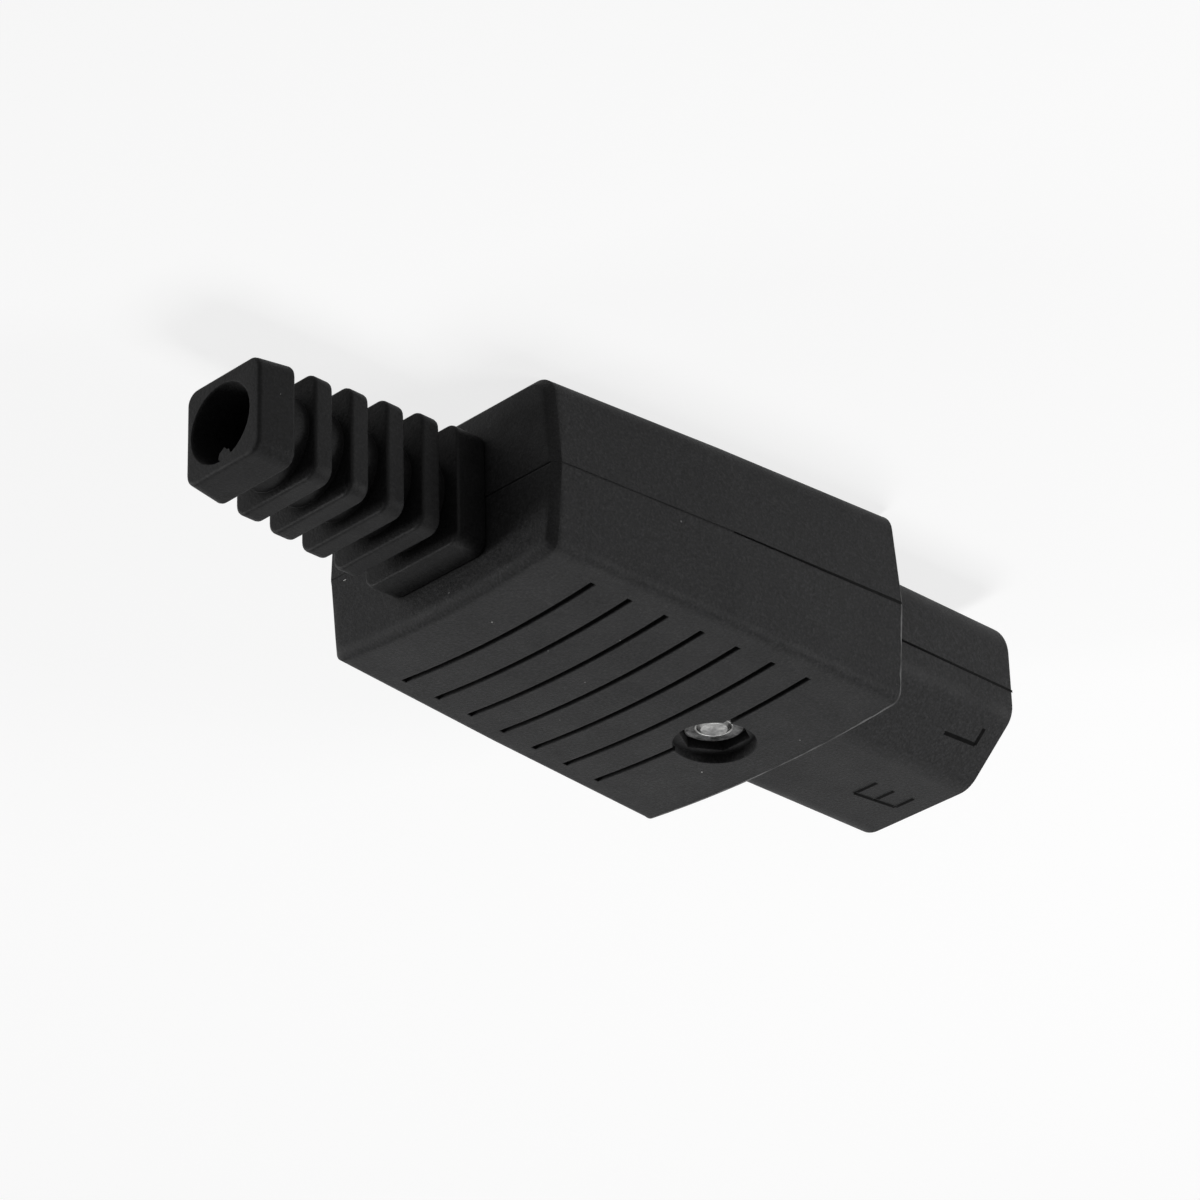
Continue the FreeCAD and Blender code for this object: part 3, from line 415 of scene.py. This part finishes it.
def add_flash(name, half, width, proud):
    """Run a thin uneven strip of flash along the front rim of one shell, within the shell's box;
    its pale material is a painted highlight.
    """
    build = bmesh.new()
    low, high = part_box("upper_shell" if half[0].z > 0 else "lower_shell")
    whole = [Vector((0, -point.y, point.z)) for point in half[:-1]] + half[::-1]
    fine = []
    for start, end in zip(whole, whole[1:]):
        count = max(1, int((end - start).length / 0.5))
        fine += [start.lerp(end, step / count) for step in range(count)]
    fine.append(whole[-1])
    rows = []
    for place, point in enumerate(fine):
        before = fine[max(place - 1, 0)]
        after = fine[min(place + 1, len(fine) - 1)]
        outward = (after - before).normalized().cross(ALONG)
        if outward.dot(point) < 0:
            outward = -outward
        swell = 0.75 + 0.6 * noise.noise(point * 0.8)
        row = []
        for along, rise in ((-width * swell, -0.02), (-0.6 * width * swell, proud),
                            (0.02, proud), (0.04, -0.05)):
            tip = (point + outward * rise + Vector((BODY_FRONT + along, 0, 0))) * MM
            tip.y = min(max(tip.y, low.y), high.y)
            tip.z = min(max(tip.z, low.z), high.z)
            row.append(build.verts.new(tip))
        rows.append(row)
    for first, second in zip(rows, rows[1:]):
        for place in range(len(first) - 1):
            build.faces.new((first[place], first[place + 1], second[place + 1], second[place]))
    bmesh.ops.recalc_face_normals(build, faces=build.faces)
    add_piece(name, build, "housing", FLASH_PAINTED_HIGHLIGHT)


UPPER_EDGE = section_edge(BODY_HALF_WIDTH, UPPER_HEIGHT, UPPER_DRAFT, UPPER_ROUND, CROWN, 1)
LOWER_EDGE = section_edge(BODY_HALF_WIDTH, LOWER_DEPTH, LOWER_DRAFT, LOWER_ROUND, 0.0, -1)
add_flash("upper_rim_flash_highlight", UPPER_EDGE, 0.19, 0.03)
add_flash("lower_rim_flash_highlight", LOWER_EDGE, 0.08, 0.015)


# Turned countersink of the nut

def add_ring(name, centre, rings, count, slot, material):
    """Turn a profile of (radius, height) once about the vertical axis."""
    build = bmesh.new()
    rows = []
    for step in range(count):
        turn = 2 * math.pi * step / count
        rows.append([build.verts.new(centre + Vector((radius * math.cos(turn),
                                                      radius * math.sin(turn), height)) * MM)
                     for radius, height in rings])
    for place in range(count):
        first, second = rows[place], rows[(place + 1) % count]
        for level in range(len(rings) - 1):
            face = build.faces.new((first[level], first[level + 1],
                                    second[level + 1], second[level]))
            face.smooth = True
    bmesh.ops.recalc_face_normals(build, faces=build.faces)
    add_piece(name, build, slot, material)


nut_low, nut_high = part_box("closing_nut")
nut_top = Vector(((nut_low.x + nut_high.x) / 2, 0, nut_high.z))
add_ring("nut_countersink", nut_top, [(1.53, -0.05), (1.56, 0.008), (1.66, 0.02), (1.72, 0.004)],
         72, "plated_steel", SCREW_END)


# Painted shade of the seam: a dark line laid in the set-back edges of the shells, where the gap
# between them is in shadow

SEAM_HALF_THICKNESS = 0.01
NOSE_SEAM = 11.998


def add_seam(name, stops):
    """Lay a thin dark strip of painted shade along the seam through (x, y, height) stops."""
    build = bmesh.new()
    loops = []
    for place, (along, across, height) in enumerate(stops):
        before = stops[max(place - 1, 0)]
        after = stops[min(place + 1, len(stops) - 1)]
        run = Vector((after[0] - before[0], after[1] - before[1], 0)).normalized()
        side = Vector((-run.y, run.x, 0)) * SEAM_HALF_THICKNESS
        middle = Vector((along, across, 0))
        rise = Vector((0, 0, 0.5 * height))
        section = (middle - side - rise, middle + side - rise,
                   middle + side + rise, middle - side + rise)
        loops.append([build.verts.new(point * MM) for point in section])
    join_loops(build, loops)
    build.faces.new(loops[0])
    build.faces.new(reversed(loops[-1]))
    bmesh.ops.recalc_face_normals(build, faces=build.faces)
    add_piece(name, build, "housing", PAINTED_SHADE_MARK)


for side, label in ((1, "left"), (-1, "right")):
    add_seam("nose_seam_" + label, [(-0.1, side * NOSE_SEAM, 0.25),
                                    (BODY_FRONT, side * NOSE_SEAM, 0.25)])
    add_seam("shoulder_seam_" + label, [(-19.99, side * NOSE_HALF_WIDTH, 0.16),
                                        (-19.99, side * 16.5, 0.16)])
    add_seam("body_seam_" + label, [(-20.05, side * 16.612, 0.32), (-30.0, side * 16.161, 0.24),
                                    (BODY_MIDDLE, side * 15.692, 0.15)])


# Dust specks on the housing and a burr at the cord hole

FLECK_CORNERS = 14


def add_speck(name, place, normal, size, stretch, turn, material):
    """Lay one flat uneven fleck on a face."""
    build = bmesh.new()
    first = normal.orthogonal().normalized()
    second = normal.cross(first)
    tips = []
    for step in range(FLECK_CORNERS):
        angle = 2 * math.pi * step / FLECK_CORNERS
        wander = noise.noise(Vector((step * 0.9, place.x * 3.1, place.y * 1.7)))
        reach = size * (0.75 + 0.5 * wander)
        across = reach * stretch * math.cos(angle)
        up = reach * math.sin(angle)
        side = across * math.cos(turn) - up * math.sin(turn)
        rise = across * math.sin(turn) + up * math.cos(turn)
        tips.append(build.verts.new((place + first * side + second * rise + normal * 0.012) * MM))
    top = build.verts.new((place + normal * 0.03) * MM)
    for step in range(FLECK_CORNERS):
        build.faces.new((tips[step], tips[(step + 1) % FLECK_CORNERS], top))
    add_piece(name, build, "housing", material)


REARWARD = Vector((-1, 0, 0))
UPWARD = Vector((0, 0, 1))
SPECKS = [
    ((BODY_REAR, -0.37, -3.95), REARWARD, 0.09, 1.2, 0.3),
    ((BODY_REAR, 3.07, -0.90), REARWARD, 0.11, 1.3, 1.0),
    ((BODY_REAR, -13.03, -3.08), REARWARD, 0.08, 1.0, 0.0),
    ((BODY_REAR, -11.88, 0.67), REARWARD, 0.06, 5.0, 0.8),
    ((-55.83, 1.85, 8.81), UPWARD, 0.09, 1.1, 0.0),
    ((-24.01, -4.61, 9.90), UPWARD, 0.08, 1.4, 0.4),
    ((-45.73, 7.01, 9.00), UPWARD, 0.05, 1.4, 0.4),
    ((-39.60, -6.67, 9.24), UPWARD, 0.05, 1.2, 0.2),
    ((-22.04, 5.57, 9.94), UPWARD, 0.06, 1.4, 0.4),
]
for place, (spot, normal, size, stretch, turn) in enumerate(SPECKS, start=1):
    add_speck(f"speck_{place}", Vector(spot), normal, size, stretch, turn, DUST)

add_speck("bore_burr", Vector((-84.15, 0.16, 2.77)), REARWARD, 0.72, 1.3, 0.6, GUARD)


# Ribbed guard with rounded corners and soft edges, in place of the plain solid

GUARD_MIDDLE = Vector((0, 0.05, -0.4))
BORE_MIDDLE = Vector((0, -0.25, -0.35))
ROUNDING_STEPS = 3
SHARP_FOLD = math.radians(40)


def rounded_square(half, corner, steps=8):
    """Return (across, up) points round a square with rounded corners."""
    points = []
    for turn in range(4):
        middle = (half - corner) * math.sqrt(2)
        towards = math.radians(45 + 90 * turn)
        for step in range(steps + 1):
            angle = math.radians(90 * turn + 90 * step / steps)
            points.append((middle * math.cos(towards) + corner * math.cos(angle),
                           middle * math.sin(towards) + corner * math.sin(angle)))
    return points


def block_rows(start, end, first_half, last_half, edge):
    """Return (x, half, corner) rows of a block whose two rims are rounded."""
    first_rows = []
    last_rows = []
    for step in range(ROUNDING_STEPS + 1):
        turn = math.radians(90 * step / ROUNDING_STEPS)
        inset = edge * (1 - math.sin(turn))
        along = edge * (1 - math.cos(turn))
        corner = OUTER_CORNER - inset
        first_rows.append((start + along, first_half - inset, corner))
        last_rows.append((end - along, last_half - inset, corner))
    return first_rows + last_rows[::-1]


def core_rows(start, end):
    """Return the rows of the round core between two blocks."""
    return [(start, CORE_RADIUS, CORE_RADIUS), (end, CORE_RADIUS, CORE_RADIUS)]


def add_guard():
    """Build the guard from its outer rows and its bore."""
    rows = block_rows(GUARD_END, END_BLOCK_FRONT, *END_BLOCK_HALVES, END_EDGE)
    for step in range(RIB_COUNT):
        start = FIRST_RIB + RIB_PITCH * step
        half = FIRST_RIB_HALF + RIB_GROWTH * step
        rows += core_rows(rows[-1][0], start)
        rows += block_rows(start, start + RIB_THICKNESS, half, half, RIB_EDGE)
    rows += core_rows(rows[-1][0], SLAB_START)
    rows += block_rows(SLAB_START, BODY_REAR, SLAB_HALF, SLAB_HALF, SLAB_EDGE)
    rows += [(BODY_REAR, NECK_HALF, INNER_CORNER), (NECK_END, NECK_HALF, INNER_CORNER),
             (NECK_END, FLANGE_HALF, INNER_CORNER), (FLANGE_END, FLANGE_HALF, INNER_CORNER)]
    build = bmesh.new()
    loops = []
    for along, half, corner in rows:
        loops.append([build.verts.new((GUARD_MIDDLE + Vector((along, across, up))) * MM)
                      for across, up in rounded_square(half, corner)])
    for along, radius in ((FLANGE_END, BORE_RADIUS), (GUARD_END + BORE_LIP_DEPTH, BORE_RADIUS),
                          (GUARD_END, BORE_RADIUS + BORE_LIP_WIDTH)):
        loops.append([build.verts.new((BORE_MIDDLE + Vector((along, across, up))) * MM)
                      for across, up in rounded_square(radius, radius)])
    join_loops(build, loops + [loops[0]])
    bmesh.ops.remove_doubles(build, verts=build.verts, dist=1e-7)
    bmesh.ops.recalc_face_normals(build, faces=build.faces)
    for line in build.edges:
        if line.calc_face_angle(0.0) > SHARP_FOLD:
            line.smooth = False
    piece = add_piece("guard", build, "flexible_guard", GUARD)
    normals = piece.modifiers.new("flat_faces", "WEIGHTED_NORMAL")
    normals.keep_sharp = True
    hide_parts("cord_guard")


add_guard()


# Camera

CAMERA_PLACE = (-0.31494, 0.27115, 0.21161)
VIEW = Vector((0.62292, -0.61565, -0.48265))
IMAGE_UP = Vector((-0.32172, 0.36078, -0.87541))
image_right = VIEW.cross(IMAGE_UP).normalized()
image_up = image_right.cross(VIEW).normalized()
lens = bpy.data.cameras.new("photo_camera")
lens.sensor_width = 36.0
lens.lens = 150.98
lens.shift_x = -0.00188
lens.shift_y = -0.01107
lens.clip_start = 0.01
camera = bpy.data.objects.new("photo_camera", lens)
camera.matrix_world = Matrix.Translation(CAMERA_PLACE) @ Matrix(
    (image_right, image_up, -VIEW.normalized())).transposed().to_4x4()
bpy.context.collection.objects.link(camera)
bpy.context.scene.camera = camera


# Floor, world and lamps

FLOOR_SIZE = 3.0
FLOOR_TONE = 0.25
FLOOR_SEEN = 0.78
WORLD_LIGHT = 0.08
WORLD_SEEN = 1.0
LAMP_TARGET = Vector((-0.04, 0, 0))


def only_for_camera(tree):
    """Return a socket that is 1 for rays that reach the camera straight, mirrored or refracted."""
    path = tree.nodes.new("ShaderNodeLightPath")
    total = path.outputs["Is Camera Ray"]
    for name in ("Is Glossy Ray", "Is Transmission Ray"):
        node = tree.nodes.new("ShaderNodeMath")
        node.operation = "MAXIMUM"
        tree.links.new(total, node.inputs[0])
        tree.links.new(path.outputs[name], node.inputs[1])
        total = node.outputs[0]
    return total


def add_floor():
    """Lay a pale floor under the broad lower face, tilted as that face is."""
    slope = (LOWER_DEPTH - LOWER_REAR_DEPTH) / (BODY_FRONT - BODY_REAR)
    height = -(LOWER_DEPTH - slope * BODY_FRONT) * MM
    build = bmesh.new()
    bmesh.ops.create_grid(build, x_segments=8, y_segments=8, size=FLOOR_SIZE)
    mesh = bpy.data.meshes.new("floor")
    build.to_mesh(mesh)
    build.free()
    floor = bpy.data.objects.new("floor", mesh)
    floor.matrix_world = Matrix.Translation((0, 0, height)) @ Matrix.Rotation(
        math.atan(slope), 4, "Y")
    material = bpy.data.materials.new("floor")
    material.use_nodes = True
    tree = material.node_tree
    shader = tree.nodes["Principled BSDF"]
    shader.inputs["Base Color"].default_value = (FLOOR_TONE, FLOOR_TONE, FLOOR_TONE, 1.0)
    shader.inputs["Roughness"].default_value = 0.9
    shader.inputs["Specular IOR Level"].default_value = 0.0
    shader.inputs["Emission Color"].default_value = (1.0, 1.0, 1.0, 1.0)
    strength = tree.nodes.new("ShaderNodeMath")
    strength.operation = "MULTIPLY"
    strength.inputs[1].default_value = FLOOR_SEEN
    tree.links.new(only_for_camera(tree), strength.inputs[0])
    tree.links.new(strength.outputs[0], shader.inputs["Emission Strength"])
    mesh.materials.append(material)
    bpy.context.collection.objects.link(floor)


def set_world():
    """Show white behind the part and light it softly from all round."""
    world = bpy.data.worlds.new("studio")
    world.use_nodes = True
    tree = world.node_tree
    ground = tree.nodes["Background"]
    ground.inputs["Color"].default_value = (1.0, 1.0, 1.0, 1.0)
    strength = tree.nodes.new("ShaderNodeMapRange")
    strength.inputs["To Min"].default_value = WORLD_LIGHT
    strength.inputs["To Max"].default_value = WORLD_SEEN
    tree.links.new(only_for_camera(tree), strength.inputs["Value"])
    tree.links.new(strength.outputs["Result"], ground.inputs["Strength"])
    bpy.context.scene.world = world


def add_lamp(name, position, size, power):
    """Aim a soft square lamp at the middle of the part."""
    light = bpy.data.lights.new(name, "AREA")
    light.size = size
    light.energy = power
    lamp = bpy.data.objects.new(name, light)
    lamp.location = position
    lamp.rotation_mode = "QUATERNION"
    lamp.rotation_quaternion = (LAMP_TARGET - Vector(position)).to_track_quat("-Z", "Y")
    bpy.context.collection.objects.link(lamp)


add_floor()
set_world()
add_lamp("key", (-0.48, -0.62, 0.06), 0.25, 6.2)
add_lamp("top", (0.12, -0.04, 0.36), 0.2, 0.77)
add_lamp("side", (0.2, 0.3, 0.06), 0.16, 1.15)

bpy.context.scene.view_settings.view_transform = "Standard"
